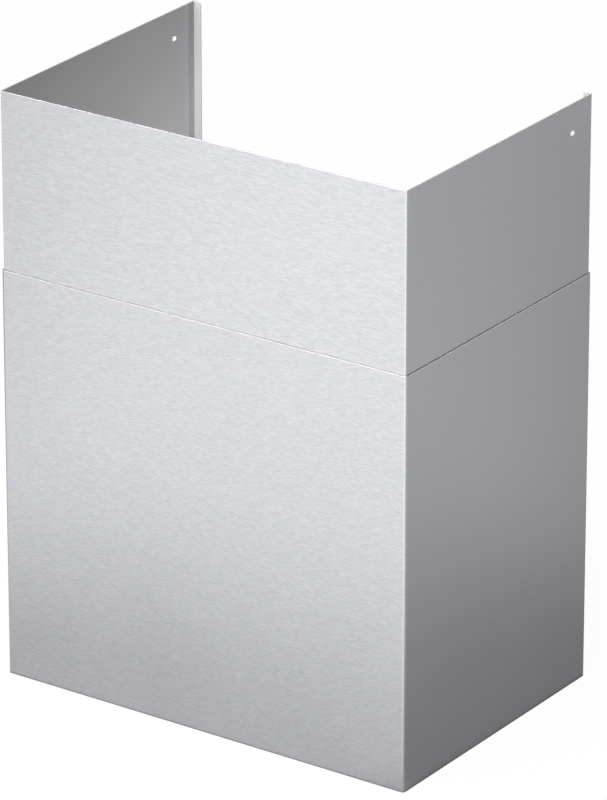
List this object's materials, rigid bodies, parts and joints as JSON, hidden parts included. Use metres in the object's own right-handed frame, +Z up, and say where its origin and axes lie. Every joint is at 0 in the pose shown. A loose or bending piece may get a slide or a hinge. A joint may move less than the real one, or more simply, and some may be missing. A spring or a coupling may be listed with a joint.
{
  "type": "cooker hood chimney section",
  "caption": "Telescopic cooker hood chimney of folded brushed steel, open at the back, with an upper sleeve that slides inside a lower one and has a fixing slot in each side wall.",
  "frame": {"origin": "under the middle of the lower sleeve, on the plane that its bottom edge stands on", "axes": "+Z up along the slide, -Y to the room at the front, +Y to the wall, +X to the right as seen from the front"},
  "size_m": [0.5, 0.339, 0.65],
  "materials": {
    "lower_steel": "brushed across the sheet, level grain",
    "upper_steel": "brushed across the sheet, level grain"
  },
  "bodies": {
    "lower_sleeve": {"lower_sleeve": "lower_steel"},
    "upper_sleeve": {"upper_sleeve": "upper_steel"}
  },
  "joints": [
    {"name": "sleeve_slide", "type": "slide", "parent": "lower_sleeve", "child": "upper_sleeve", "axis": [0, 0, 1], "range_m": [-0.195, 0.22]}
  ]
}
